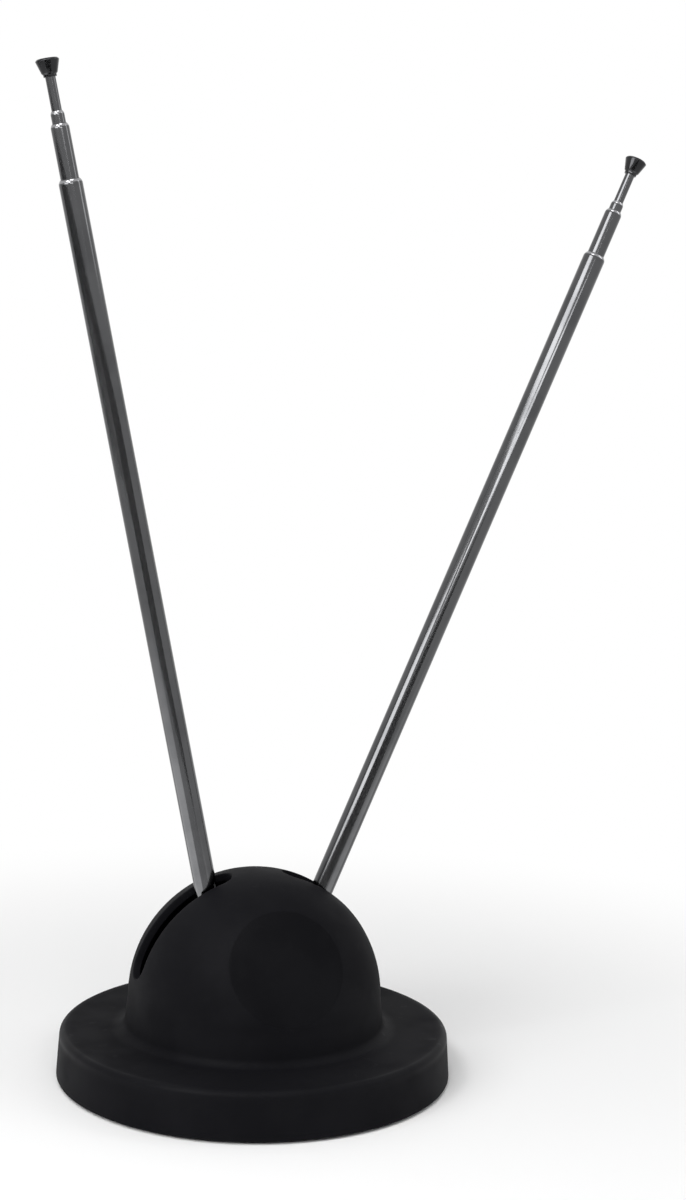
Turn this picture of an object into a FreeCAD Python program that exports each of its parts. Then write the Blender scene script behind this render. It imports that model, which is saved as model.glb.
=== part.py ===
# A table-top television antenna: a weighted plastic base with a dome, and two rods that lean in the
# slots of the dome and pull out in three stages.
#
# Millimetres, +Z up. The origin is the middle of the foot pad's underside, on the surface that the
# antenna stands on. The flat field of the dome faces the front, -Y. The rods lean in the plane y = 0,
# and each rod is modelled upright, with its pivot at the origin, and then leaned and set in its place.
import FreeCAD, Part
import math
import os
import re
import Sketcher
from FreeCAD import Placement, Rotation, Vector

SIZES = {
    # housing: base disc, skirt and dome, one moulding
    "deck_radius": 60.0,  # top of the disc, before its edge is rounded
    "side_draft": 1.0,  # how much wider the disc is at its lower edge
    "deck_height": 15.2,  # above the standing surface
    "wall": 2.2,
    "rim_round": 1.8,
    "lower_edge_round": 0.6,
    "dome_radius": 39.2,
    "dome_rise": 10.1,  # centre of the dome above the deck
    "skirt_flare": 1.1,  # the skirt widens from the dome down to the deck
    "foot_round": 2.5,
    "flat_radius": 17.4,  # flat field on the front of the dome
    "flat_angle": 28.3,  # its tilt back from upright
    "slot_clearance": 1.2,
    "slot_round": 0.4,
    # rod pivots, and the lean of the rods from upright
    "pivot_offset": 10.5,
    "pivot_rise": 6.7,  # above the centre of the dome
    "left_lean": 11.8,
    "right_lean": 23.45,
    "lean_upright": 4.5,  # the slots let the rods lean from here
    "lean_lowered": 78.0,  # to here
    # underside: pad, cover, ballast and the screws of the cover
    "pad_proud": 0.8,
    "pad_thickness": 2.0,
    "pad_margin": 6.0,
    "pad_clearance": 0.3,
    "cover_thickness": 3.0,
    "cover_clearance": 0.25,
    "cover_screws": 4,
    "boss_radius": 4.0,
    "boss_inset": 8.8,  # middle of a boss from the inside of the side wall
    "screw_radius": 1.5,
    "screw_head_radius": 2.8,
    "screw_length": 9.0,
    "screw_clearance": 0.05,
    "pilot_spare": 0.8,
    "ballast_thickness": 4.0,
    "ballast_gap": 5.0,  # from the ballast to the bosses
    "ballast_hole_radius": 8.0,
    "ballast_clearance": 0.25,
    "locating_rib_wall": 1.5,
    "locating_rib_height": 2.5,
    # outlet for the lead, in the rear of the side wall
    "outlet_radius": 3.0,
    "outlet_height": 8.4,
    # carrier of the pivots
    "plate_thickness": 2.5,
    "plate_half_length": 19.0,
    "plate_front": 9.0,
    "plate_rear": 19.0,
    "plate_corner_round": 2.0,
    "post_offset": 23.0,
    "post_radius": 3.5,
    "arm_half_width": 5.5,
    "ear_height": 14.0,  # pivot above the plate
    "ear_half_width": 6.0,
    "ear_thickness": 2.5,
    "ear_web": 1.5,  # plate thickening between the ears
    "carrier_head_radius": 2.9,
    "carrier_head_height": 1.8,
    "carrier_screw_length": 10.0,
    # pivot hardware
    "pivot_radius": 1.5,
    "pivot_clearance": 0.06,
    "pivot_head_radius": 2.8,
    "pivot_head_height": 2.0,
    "driver_slot_width": 0.8,
    "driver_slot_depth": 0.9,
    "thread_spare": 1.0,  # thread standing out of the nut
    "nut_flats": 5.5,
    "nut_thickness": 2.4,
    "washer_radius": 3.4,
    "washer_thickness": 0.5,
    "spring_thickness": 0.3,
    "washer_gap": 0.05,
    "tag_thickness": 0.5,
    "tag_eye_radius": 3.0,
    "tag_tail_width": 2.4,
    "tag_tail_length": 9.0,
    # transformer board and its leads
    "board_half_length": 13.5,
    "board_depth": 8.4,
    "board_thickness": 1.2,
    "board_edge_gap": 0.5,
    "peg_offset": 7.0,
    "peg_radius": 0.9,
    "peg_clearance": 0.1,
    "peg_spare": 0.8,
    "core_length": 8.0,
    "core_depth": 6.0,
    "core_height": 5.0,
    "core_hole_radius": 1.1,
    "core_hole_spacing": 3.6,
    "lead_radius": 0.6,
    "lead_rise": 5.2,  # above the board
    "lead_bend": 3.0,
    # foot of a rod
    "tongue_thickness": 3.0,
    "collar_start": 6.8,
    "collar_height": 1.6,
    "plug_length": 8.0,
    "plug_clearance": 0.03,
    # tubes of a rod, from the outside in
    "rod_radius": 3.5,
    "outer_wall": 0.35,
    "second_wall": 0.35,
    "third_wall": 0.3,
    "second_sleeve": 0.4,
    "third_sleeve": 0.3,
    "tip_sleeve": 0.15,
    "slide_clearance": 0.05,
    "outer_length": 236.0,  # from the collar of the foot
    "second_reveal": 15.2,  # each section stands this far out of the one round it when pushed in
    "third_reveal": 2.9,
    "tip_reveal": 9.6,
    "second_out": 0.6,  # the left rod's sections are left a little pulled out
    "third_out": 0.6,
    "outer_neck": 1.5,
    "second_neck": 1.4,
    "third_neck": 1.1,
    "neck_lip": 0.1,
    "seat_gap": 0.3,
    "floor": 0.8,
    "heel_height": 1.2,
    "sleeve_length": 9.0,
    "sleeve_play": 0.2,
    "sleeve_slit": 0.8,
    "bead_height": 0.8,
    # cap on the tip
    "cap_radius": 3.5,
    "cap_lower_radius": 2.35,
    "cap_collar_radius": 1.95,
    "cap_height": 5.2,
    "cap_collar_height": 0.7,
    "cap_shoulder_height": 0.4,
    "cap_crown": 0.5,
    "cap_socket": 3.6,
    "cap_clearance": 0.02,
}

SIDES = {"left": -1, "right": 1}
FIRST_SCREW_ANGLE = 45
TOUCH = 1e-3  # points closer than this are the same point
UP = Vector(0, 0, 1)
ACROSS = Vector(1, 0, 0)
BACK = Vector(0, 1, 0)

# Heights and radii that several pieces share, as formulas of the sizes.
DOME_Z = "(deck_height + dome_rise)"
PIVOT_Z = f"({DOME_Z} + pivot_rise)"
PLATE_TOP = f"({PIVOT_Z} - ear_height)"
PLATE_UNDER = f"({PLATE_TOP} - plate_thickness)"
COVER_TOP = "(pad_proud + cover_thickness)"
INNER_RADIUS = "(deck_radius - wall)"
BOSS_CIRCLE = f"({INNER_RADIUS} - boss_inset)"
BALLAST_RADIUS = f"({BOSS_CIRCLE} - boss_radius - ballast_gap)"
PAD_RECESS = "(deck_radius - pad_margin)"
FLAT_DISTANCE = "sqrt(dome_radius ^ 2 - flat_radius ^ 2)"
SLOT_HALF = "(rod_radius + slot_clearance)"
SLOT_REACH = "(1.5 * dome_radius)"
EAR_INSIDE = "(tongue_thickness / 2 + washer_thickness + 2 * washer_gap)"
EAR_OUTSIDE = f"({EAR_INSIDE} + ear_thickness)"
NUT_START = f"({EAR_OUTSIDE} + tag_thickness)"
BOARD_FRONT = "(plate_rear - board_edge_gap - board_depth)"
BOARD_MIDDLE = f"({BOARD_FRONT} + board_depth / 2)"
BOARD_TOP = f"({PLATE_TOP} + board_thickness)"

# Radii of a rod from the outside in, and heights along it from its pivot.
OUTER_BORE = "(rod_radius - outer_wall)"
SECOND_RADIUS = f"({OUTER_BORE} - slide_clearance - second_sleeve)"
SECOND_BORE = f"({SECOND_RADIUS} - second_wall)"
THIRD_RADIUS = f"({SECOND_BORE} - slide_clearance - third_sleeve)"
THIRD_BORE = f"({THIRD_RADIUS} - third_wall)"
TIP_RADIUS = f"({THIRD_BORE} - slide_clearance - tip_sleeve)"
OUTER_START = "(collar_start + collar_height)"
OUTER_TOP = f"({OUTER_START} + outer_length)"
SECOND_TOP = f"({OUTER_TOP} + second_reveal)"
THIRD_TOP = f"({SECOND_TOP} + third_reveal)"
CAP_START = f"({THIRD_TOP} + tip_reveal)"
SECOND_START = f"({OUTER_START} + plug_length + seat_gap)"
THIRD_START = f"({SECOND_START} + floor + seat_gap)"
TIP_START = f"({THIRD_START} + floor + seat_gap)"
SECTIONS_OUT = {"left": ("second_out", "(second_out + third_out)"), "right": ("0", "0")}

doc = FreeCAD.newDocument("tv_antenna")
sheet = doc.addObject("Spreadsheet::Sheet", "sizes")
pieces = []


def fill_sheet():
    for row, (name, value) in enumerate(SIZES.items(), start=1):
        sheet.set(f"A{row}", name)
        sheet.set(f"B{row}", str(value))
        sheet.setAlias(f"B{row}", name)
    doc.recompute()


def formula(text):
    """The text with each size's name turned into a reference to its cell."""

    def cell(match):
        name = match.group(0)
        return f"sizes.{name}" if name in SIZES else name

    return re.sub(r"[a-z][a-z_]*", cell, text)


def number(text):
    return float(sheet.evalExpression(formula(text)))


def bind(thing, prop, text):
    thing.setExpression(prop, formula(text))


def keep(thing, label):
    """Notes a finished piece under the name of its file."""
    thing.Label = label
    pieces.append(thing)
    return thing


def new_body(label):
    return doc.addObject("PartDesign::Body", label)


def origin_of(body, role):
    return next(feature for feature in body.Origin.OriginFeatures if feature.Role == role)


def set_place(thing, across="0", back="0", up="0", prop="Placement"):
    bind(thing, f"{prop}.Base.x", across)
    bind(thing, f"{prop}.Base.y", back)
    bind(thing, f"{prop}.Base.z", up)


def set_lean(thing, angle, prop="Placement"):
    """Turns a thing about the Y axis, away from upright towards +X."""
    setattr(thing, prop, Placement(Vector(), Rotation(BACK, number(angle))))
    bind(thing, f"{prop}.Rotation.Angle", angle)


def sketch_on(body, name, role, height="0"):
    sketch = body.newObject("Sketcher::SketchObject", name)
    sketch.AttachmentSupport = [(origin_of(body, role), "")]
    sketch.MapMode = "FlatFace"
    bind(sketch, "AttachmentOffset.Base.z", height)
    return sketch


def hold(sketch, kind, side, point, text):
    """Holds one coordinate of a point of a side at a formula."""
    index = sketch.addConstraint(Sketcher.Constraint(kind, -1, 1, side, point, number(text)))
    bind(sketch, f"Constraints[{index}]", text)


def outline(sketch, corners, arcs=None):
    """A closed outline, counter-clockwise. A side in arcs turns about the centre that it gives, and the
    constraint that it names holds that centre."""
    arcs = arcs or {}
    first = sketch.GeometryCount
    points = [Vector(number(across), number(up), 0) for across, up in corners]
    count = len(points)
    for side, start in enumerate(points):
        end = points[(side + 1) % count]
        if side in arcs:
            centre = Vector(number(arcs[side][0]), number(arcs[side][1]), 0)
            begin_angle = math.atan2(start.y - centre.y, start.x - centre.x)
            end_angle = math.atan2(end.y - centre.y, end.x - centre.x)
            whole = Part.Circle(centre, UP, start.distanceToPoint(centre))
            sketch.addGeometry(Part.ArcOfCircle(whole, begin_angle, end_angle), False)
        else:
            sketch.addGeometry(Part.LineSegment(start, end), False)
    for side in range(count):
        following = first + (side + 1) % count
        sketch.addConstraint(Sketcher.Constraint("Coincident", first + side, 2, following, 1))
    for side, (across, up) in enumerate(corners):
        hold(sketch, "DistanceX", first + side, 1, across)
        hold(sketch, "DistanceY", first + side, 1, up)
    for side, (centre_across, centre_up, kind) in arcs.items():
        hold(sketch, kind, first + side, 3, centre_across if kind == "DistanceX" else centre_up)
    return sketch


def circle(sketch, across, up, radius):
    centre = Vector(number(across), number(up), 0)
    index = sketch.addGeometry(Part.Circle(centre, UP, number(radius)), False)
    hold(sketch, "DistanceX", index, 3, across)
    hold(sketch, "DistanceY", index, 3, up)
    size = sketch.addConstraint(Sketcher.Constraint("Radius", index, number(radius)))
    bind(sketch, f"Constraints[{size}]", radius)
    return sketch


def box_corners(left, right, low, high):
    return [(left, low), (right, low), (right, high), (left, high)]


def revolve(body, name, corners, role="XZ_Plane", arcs=None):
    """A turned form about the upright axis of its sketch."""
    sketch = outline(sketch_on(body, f"{name}_profile", role), corners, arcs)
    feature = body.newObject("PartDesign::Revolution", name)
    feature.Profile = sketch
    feature.ReferenceAxis = (sketch, ["V_Axis"])
    feature.Angle = 360
    return feature


def extrude(body, name, sketch, length, kind="Pad", both_ways=False, back=False):
    feature = body.newObject(f"PartDesign::{kind}", name)
    feature.Profile = sketch
    feature.SideType = "Symmetric" if both_ways else "One side"
    feature.Reversed = back
    bind(feature, "Length", length)
    return feature


def primitive(body, kind, name, across, back, up, angle=None, **sizes):
    """A cylinder, cone or box that is added to the body or taken from it."""
    feature = body.newObject(f"PartDesign::{kind}", name)
    feature.AttachmentSupport = [(origin_of(body, "XY_Plane"), "")]
    feature.MapMode = "FlatFace"
    if angle is not None:
        set_lean(feature, angle, "AttachmentOffset")
    set_place(feature, across, back, up, "AttachmentOffset")
    for prop, text in sizes.items():
        bind(feature, prop, text)
    return feature


def repeat_round(body, name, features, occurrences):
    """Copies features evenly round the upright axis."""
    pattern = body.newObject("PartDesign::PolarPattern", name)
    pattern.Originals = features
    pattern.Axis = (origin_of(body, "Z_Axis"), [""])
    pattern.Angle = 360
    bind(pattern, "Occurrences", occurrences)
    body.Tip = pattern
    return pattern


def round_edges(body, name, base, radius, wanted):
    """Rounds the edges of a feature for which wanted(edge) holds."""
    doc.recompute()
    names = []
    for index, edge in enumerate(base.Shape.Edges, start=1):
        if not edge.Degenerated and wanted(edge):
            names.append(f"Edge{index}")
    feature = body.newObject("PartDesign::Fillet", name)
    feature.Base = (base, names)
    bind(feature, "Radius", radius)
    return feature


def circle_at(radius, height):
    """A test for the circular edge of a turned form at a radius and height."""
    edge_radius = number(radius)
    edge_height = number(height)

    def wanted(edge):
        curve = edge.Curve
        if not isinstance(curve, Part.Circle):
            return False
        return abs(curve.Radius - edge_radius) < TOUCH and abs(curve.Center.z - edge_height) < TOUCH

    return wanted


def flat_cut(body, name, distance):
    """Cuts the front of a dome off square to the direction in which the flat field faces."""
    feature = body.newObject("PartDesign::SubtractiveCylinder", name)
    feature.AttachmentSupport = [(origin_of(body, "XY_Plane"), "")]
    feature.MapMode = "FlatFace"
    tilt = "90 - flat_angle"
    feature.AttachmentOffset = Placement(Vector(), Rotation(ACROSS, number(tilt)))
    bind(feature, "AttachmentOffset.Rotation.Angle", tilt)
    along_back = f"-{distance} * cos(flat_angle)"
    along_up = f"{DOME_Z} + {distance} * sin(flat_angle)"
    set_place(feature, "0", along_back, along_up, "AttachmentOffset")
    bind(feature, "Radius", "flat_radius + wall")
    bind(feature, "Height", "dome_radius")
    return feature


def housing_core():
    """The hollow of the housing: pad side open, with room left for the screw bosses and posts."""
    core = new_body("housing_core")
    inner_dome = "(dome_radius - wall)"
    under_deck = "(deck_height - wall)"
    corners = [
        ("0", "0"),
        (INNER_RADIUS, "0"),
        (INNER_RADIUS, under_deck),
        ("dome_radius + skirt_flare - wall", under_deck),
        (inner_dome, DOME_Z),
        ("0", f"{DOME_Z} + {inner_dome}"),
    ]
    revolve(core, "core_form", corners, arcs={4: ("0", DOME_Z, "DistanceX")})
    flat_cut(core, "core_flat", f"({FLAT_DISTANCE} - wall)")
    boss = primitive(
        core, "SubtractiveCylinder", "boss_room",
        f"{BOSS_CIRCLE} * cos({FIRST_SCREW_ANGLE})", f"{BOSS_CIRCLE} * sin({FIRST_SCREW_ANGLE})", COVER_TOP,
        Radius="boss_radius", Height="deck_height")
    repeat_round(core, "boss_rooms", [boss], "cover_screws")
    post = primitive(
        core, "SubtractiveCylinder", "post_room", "0", "post_offset", PLATE_TOP,
        Radius="post_radius", Height="2 * dome_radius")
    repeat_round(core, "post_rooms", [post], "2")
    return core


def cut_slots(body):
    """A slot for each rod: the room that a rod sweeps, with rounded ends."""
    for side, sign in SIDES.items():
        across = f"{sign} * pivot_offset"
        corners = [(across, PIVOT_Z)]
        leans = ["lean_upright", "lean_lowered"] if sign < 0 else ["lean_lowered", "lean_upright"]
        for lean in leans:
            far_across = f"{across} + {sign} * {SLOT_REACH} * sin({lean})"
            corners.append((far_across, f"{PIVOT_Z} + {SLOT_REACH} * cos({lean})"))
        sketch = outline(sketch_on(body, f"{side}_slot_sweep", "XZ_Plane"), corners)
        extrude(body, f"{side}_slot", sketch, f"2 * {SLOT_HALF}", "Pocket", both_ways=True)
        for lean in leans:
            primitive(
                body, "SubtractiveCylinder", f"{side}_slot_{lean}", across, "0", PIVOT_Z,
                angle=f"{sign} * {lean}", Radius=SLOT_HALF, Height=SLOT_REACH)


def round_slot_edges(body):
    """Rounds the outer edges of the slots on the dome."""
    centre = Vector(0, 0, number(DOME_Z))
    radius = number("dome_radius")
    half = number(SLOT_HALF)

    def on_slot(edge):
        ends = [vertex.Point for vertex in edge.Vertexes]
        middle = edge.valueAt((edge.FirstParameter + edge.LastParameter) / 2)
        on_dome = all(abs(point.distanceToPoint(centre) - radius) < TOUCH for point in ends + [middle])
        beside_slot = all(abs(abs(point.y) - half) < TOUCH for point in ends)
        return on_dome and beside_slot and middle.z > centre.z

    round_edges(body, "slot_edges", body.Tip, "slot_round", on_slot)


def housing_shell():
    body = new_body("housing_shell")
    skirt_radius = "dome_radius + skirt_flare"
    lower_radius = "deck_radius + side_draft"
    corners = [
        ("0", "pad_proud"),
        (lower_radius, "pad_proud"),
        ("deck_radius", "deck_height"),
        (skirt_radius, "deck_height"),
        ("dome_radius", DOME_Z),
        ("0", f"{DOME_Z} + dome_radius"),
    ]
    form = revolve(body, "outer_form", corners, arcs={4: ("0", DOME_Z, "DistanceX")})
    form = round_edges(body, "rim", form, "rim_round", circle_at("deck_radius", "deck_height"))
    form = round_edges(body, "skirt_foot", form, "foot_round", circle_at(skirt_radius, "deck_height"))
    round_edges(body, "lower_edge", form, "lower_edge_round", circle_at(lower_radius, "pad_proud"))
    flat_cut(body, "front_flat", FLAT_DISTANCE)
    hollow = body.newObject("PartDesign::Boolean", "hollow")
    hollow.Type = "Cut"
    hollow.setObjects([housing_core()])
    cut_slots(body)
    screw_end = "(pad_thickness + screw_length)"
    pilot = primitive(
        body, "SubtractiveCylinder", "boss_pilot",
        f"{BOSS_CIRCLE} * cos({FIRST_SCREW_ANGLE})", f"{BOSS_CIRCLE} * sin({FIRST_SCREW_ANGLE})", COVER_TOP,
        Radius="screw_radius + screw_clearance", Height=f"{screw_end} + pilot_spare - {COVER_TOP}")
    repeat_round(body, "boss_pilots", [pilot], "cover_screws")
    pilot = primitive(
        body, "SubtractiveCylinder", "post_pilot", "0", "post_offset", PLATE_TOP,
        Radius="screw_radius + screw_clearance",
        Height="carrier_screw_length - plate_thickness + pilot_spare")
    repeat_round(body, "post_pilots", [pilot], "2")
    sketch = circle(sketch_on(body, "outlet_circle", "XZ_Plane"), "0", "outlet_height", "outlet_radius")
    extrude(body, "lead_outlet", sketch, "deck_radius + 2 * side_draft", "Pocket")
    round_slot_edges(body)
    return keep(body, "housing_shell")


def bottom_cover():
    body = new_body("bottom_cover")
    cover_radius = f"({INNER_RADIUS} - cover_clearance)"
    rib_inside = f"({BALLAST_RADIUS} + ballast_clearance)"
    rib_outside = f"({rib_inside} + locating_rib_wall)"
    spigot_radius = "(ballast_hole_radius - ballast_clearance)"
    rib_top = f"({COVER_TOP} + locating_rib_height)"
    corners = [
        ("0", "pad_thickness"),
        (PAD_RECESS, "pad_thickness"),
        (PAD_RECESS, "pad_proud"),
        (cover_radius, "pad_proud"),
        (cover_radius, COVER_TOP),
        (rib_outside, COVER_TOP),
        (rib_outside, rib_top),
        (rib_inside, rib_top),
        (rib_inside, COVER_TOP),
        (spigot_radius, COVER_TOP),
        (spigot_radius, rib_top),
        ("0", rib_top),
    ]
    revolve(body, "cover_form", corners)
    place = (
        f"{BOSS_CIRCLE} * cos({FIRST_SCREW_ANGLE})", f"{BOSS_CIRCLE} * sin({FIRST_SCREW_ANGLE})",
        "pad_thickness")
    hole = primitive(
        body, "SubtractiveCylinder", "screw_hole", *place,
        Radius="screw_radius + screw_clearance", Height="cover_thickness")
    countersink = primitive(
        body, "SubtractiveCone", "countersink", *place,
        Radius1="screw_head_radius + screw_clearance", Radius2="screw_radius + screw_clearance",
        Height="screw_head_radius - screw_radius")
    repeat_round(body, "screw_holes", [hole, countersink], "cover_screws")
    return keep(body, "bottom_cover")


def cover_screws():
    """Countersunk screws, one in each boss."""
    body = new_body("cover_screws")
    across = f"{BOSS_CIRCLE} * cos({FIRST_SCREW_ANGLE})"
    back = f"{BOSS_CIRCLE} * sin({FIRST_SCREW_ANGLE})"
    head_height = "(screw_head_radius - screw_radius)"
    head = primitive(
        body, "AdditiveCone", "screw_head", across, back, "pad_thickness",
        Radius1="screw_head_radius", Radius2="screw_radius", Height=head_height)
    shank_length = f"(screw_length - {head_height} - screw_radius)"
    shank = primitive(
        body, "AdditiveCylinder", "screw_shank", across, back, f"pad_thickness + {head_height}",
        Radius="screw_radius", Height=shank_length)
    point = primitive(
        body, "AdditiveCone", "screw_point", across, back,
        f"pad_thickness + {head_height} + {shank_length}",
        Radius1="screw_radius", Radius2="screw_radius / 3", Height="screw_radius")
    repeat_round(body, "screw_ring", [head, shank, point], "cover_screws")
    return keep(body, "cover_screws")


def foot_pad():
    body = new_body("foot_pad")
    radius = f"{PAD_RECESS} - pad_clearance"
    revolve(body, "pad_form", box_corners("0", radius, "0", "pad_thickness"))
    return keep(body, "foot_pad")


def ballast_plate():
    body = new_body("ballast_plate")
    top = f"{COVER_TOP} + ballast_thickness"
    revolve(body, "plate_form", box_corners("ballast_hole_radius", BALLAST_RADIUS, COVER_TOP, top))
    return keep(body, "ballast_plate")


def pivot_carrier():
    """An insulating plate that hangs on the posts of the dome, with two ears for each pivot."""
    body = new_body("pivot_carrier")
    arm_end = "(post_offset + arm_half_width)"
    corners = [
        ("-arm_half_width", f"-{arm_end}"),
        ("arm_half_width", f"-{arm_end}"),
        ("arm_half_width", "-plate_front"),
        ("plate_half_length", "-plate_front"),
        ("plate_half_length", "plate_rear"),
        ("arm_half_width", "plate_rear"),
        ("arm_half_width", arm_end),
        ("-arm_half_width", arm_end),
        ("-arm_half_width", "plate_rear"),
        ("-plate_half_length", "plate_rear"),
        ("-plate_half_length", "-plate_front"),
        ("-arm_half_width", "-plate_front"),
    ]
    sketch = outline(sketch_on(body, "plate_outline", "XY_Plane", PLATE_UNDER), corners)
    plate = extrude(body, "plate", sketch, "plate_thickness")
    round_edges(
        body, "plate_corners", plate, "plate_corner_round",
        lambda edge: isinstance(edge.Curve, Part.Line) and abs(edge.tangentAt(0).z) > 0.99)
    sketch = sketch_on(body, "ear_outline", "XZ_Plane")
    for sign in SIDES.values():
        middle = f"{sign} * pivot_offset"
        corners = box_corners(
            f"{middle} - ear_half_width", f"{middle} + ear_half_width", PLATE_TOP, PIVOT_Z)
        outline(sketch, corners, arcs={2: (middle, PIVOT_Z, "DistanceY")})
    extrude(body, "ears", sketch, f"2 * {EAR_OUTSIDE}", both_ways=True)
    reach = "(pivot_offset + 2 * ear_half_width)"
    gap_top = f"{PIVOT_Z} + 2 * ear_half_width"
    sketch = outline(
        sketch_on(body, "ear_gap_outline", "XZ_Plane"),
        box_corners(f"-{reach}", reach, f"{PLATE_TOP} + ear_web", gap_top))
    extrude(body, "ear_gap", sketch, f"2 * {EAR_INSIDE}", "Pocket", both_ways=True)
    sketch = sketch_on(body, "pivot_hole_circles", "XZ_Plane")
    for sign in SIDES.values():
        circle(sketch, f"{sign} * pivot_offset", PIVOT_Z, "pivot_radius + pivot_clearance")
    extrude(body, "pivot_holes", sketch, f"4 * {EAR_OUTSIDE}", "Pocket", both_ways=True)
    hole = primitive(
        body, "SubtractiveCylinder", "post_screw_hole", "0", "post_offset", PLATE_UNDER,
        Radius="screw_radius + screw_clearance", Height="plate_thickness")
    repeat_round(body, "post_screw_holes", [hole], "2")
    sketch = sketch_on(body, "peg_circles", "XY_Plane", PLATE_TOP)
    for sign in SIDES.values():
        circle(sketch, f"{sign} * peg_offset", BOARD_MIDDLE, "peg_radius")
    extrude(body, "board_pegs", sketch, "board_thickness + peg_spare")
    return keep(body, "pivot_carrier")


def carrier_screws():
    """Pan-head screws, up through the carrier into the posts."""
    body = new_body("carrier_screws")
    head = primitive(
        body, "AdditiveCylinder", "screw_head", "0", "post_offset", f"{PLATE_UNDER} - carrier_head_height",
        Radius="carrier_head_radius", Height="carrier_head_height")
    shank = primitive(
        body, "AdditiveCylinder", "screw_shank", "0", "post_offset", PLATE_UNDER,
        Radius="screw_radius", Height="carrier_screw_length")
    repeat_round(body, "screw_pair", [head, shank], "2")
    return keep(body, "carrier_screws")


def on_pivot(body, sign):
    set_place(body, f"{sign} * pivot_offset", "0", PIVOT_Z)


def pivot_screw(side, sign):
    body = new_body(f"{side}_pivot_screw")
    head_back = f"-{EAR_OUTSIDE}"
    head_front = f"({head_back} - pivot_head_height)"
    end = f"({NUT_START} + nut_thickness + thread_spare)"
    corners = [
        ("0", head_front),
        ("pivot_head_radius", head_front),
        ("pivot_head_radius", head_back),
        ("pivot_radius", head_back),
        ("pivot_radius", end),
        ("0", end),
    ]
    revolve(body, "screw_form", corners, role="XY_Plane")
    reach = "(2 * pivot_head_radius)"
    slot_floor = f"({head_front} + driver_slot_depth)"
    slot = box_corners(f"-{reach}", reach, f"{head_front} - driver_slot_depth", slot_floor)
    sketch = outline(sketch_on(body, "driver_slot_outline", "XY_Plane"), slot)
    extrude(body, "driver_slot", sketch, "driver_slot_width", "Pocket", both_ways=True)
    on_pivot(body, sign)
    return keep(body, f"{side}_pivot_screw")


def pivot_nut(side, sign):
    body = new_body(f"{side}_pivot_nut")
    flat = "nut_flats / 2"
    half_side = "nut_flats / sqrt(12)"
    point = "nut_flats / sqrt(3)"
    corners = [
        (flat, f"-{half_side}"),
        (flat, half_side),
        ("0", point),
        (f"-{flat}", half_side),
        (f"-{flat}", f"-{half_side}"),
        ("0", f"-{point}"),
    ]
    sketch = outline(sketch_on(body, "nut_outline", "XZ_Plane", f"-{NUT_START}"), corners)
    circle(sketch, "0", "0", "pivot_radius + screw_clearance")
    extrude(body, "nut_form", sketch, "nut_thickness", back=True)
    on_pivot(body, sign)
    return keep(body, f"{side}_pivot_nut")


def spring_washer(side, sign):
    """A dished washer in front of the tongue, which gives the pivot its friction."""
    body = new_body(f"{side}_spring_washer")
    tongue_face = "-(tongue_thickness / 2 + washer_gap)"
    ear_face = f"({tongue_face} - washer_thickness)"
    inner = "pivot_radius + pivot_clearance"
    corners = [
        (inner, f"{tongue_face} - spring_thickness"),
        ("washer_radius", ear_face),
        ("washer_radius", f"{ear_face} + spring_thickness"),
        (inner, tongue_face),
    ]
    revolve(body, "washer_form", corners, role="XY_Plane")
    on_pivot(body, sign)
    return keep(body, f"{side}_spring_washer")


def plain_washer(side, sign):
    body = new_body(f"{side}_plain_washer")
    tongue_face = "(tongue_thickness / 2 + washer_gap)"
    corners = box_corners(
        "pivot_radius + pivot_clearance", "washer_radius", tongue_face, f"{tongue_face} + washer_thickness")
    revolve(body, "washer_form", corners, role="XY_Plane")
    on_pivot(body, sign)
    return keep(body, f"{side}_plain_washer")


def solder_tag(side, sign):
    """A tag under the nut: an eye round the screw, with a tail that hangs down."""
    body = new_body(f"{side}_solder_tag")
    eye = circle(sketch_on(body, "eye_circle", "XZ_Plane", f"-{EAR_OUTSIDE}"), "0", "0", "tag_eye_radius")
    extrude(body, "eye", eye, "tag_thickness", back=True)
    half_tail = "tag_tail_width / 2"
    tail = outline(
        sketch_on(body, "tail_outline", "XZ_Plane", f"-{EAR_OUTSIDE}"),
        box_corners(f"-{half_tail}", half_tail, "-tag_tail_length", "0"))
    extrude(body, "tail", tail, "tag_thickness", back=True)
    hole = circle(sketch_on(body, "hole_circle", "XZ_Plane"), "0", "0", "pivot_radius + screw_clearance")
    extrude(body, "hole", hole, f"4 * {EAR_OUTSIDE}", "Pocket", both_ways=True)
    on_pivot(body, sign)
    return keep(body, f"{side}_solder_tag")


def balun_board():
    body = new_body("balun_board")
    corners = box_corners(
        "-board_half_length", "board_half_length", BOARD_FRONT, f"{BOARD_FRONT} + board_depth")
    sketch = outline(sketch_on(body, "board_outline", "XY_Plane", PLATE_TOP), corners)
    for sign in SIDES.values():
        circle(sketch, f"{sign} * peg_offset", BOARD_MIDDLE, "peg_radius + peg_clearance")
    extrude(body, "board", sketch, "board_thickness")
    return keep(body, "balun_board")


def balun_core():
    """A ferrite block with two holes for its windings."""
    body = new_body("balun_core")
    half_length = "core_length / 2"
    front = f"{BOARD_MIDDLE} - core_depth / 2"
    corners = box_corners(f"-{half_length}", half_length, front, f"{front} + core_depth")
    sketch = outline(sketch_on(body, "core_outline", "XY_Plane", BOARD_TOP), corners)
    extrude(body, "block", sketch, "core_height")
    sketch = sketch_on(body, "hole_circles", "XZ_Plane", f"-{BOARD_MIDDLE}")
    hole_height = f"{BOARD_TOP} + core_height / 2"
    for sign in SIDES.values():
        circle(sketch, f"{sign} * core_hole_spacing / 2", hole_height, "core_hole_radius")
    extrude(body, "winding_holes", sketch, "2 * core_depth", "Pocket", both_ways=True)
    return keep(body, "balun_core")


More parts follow.
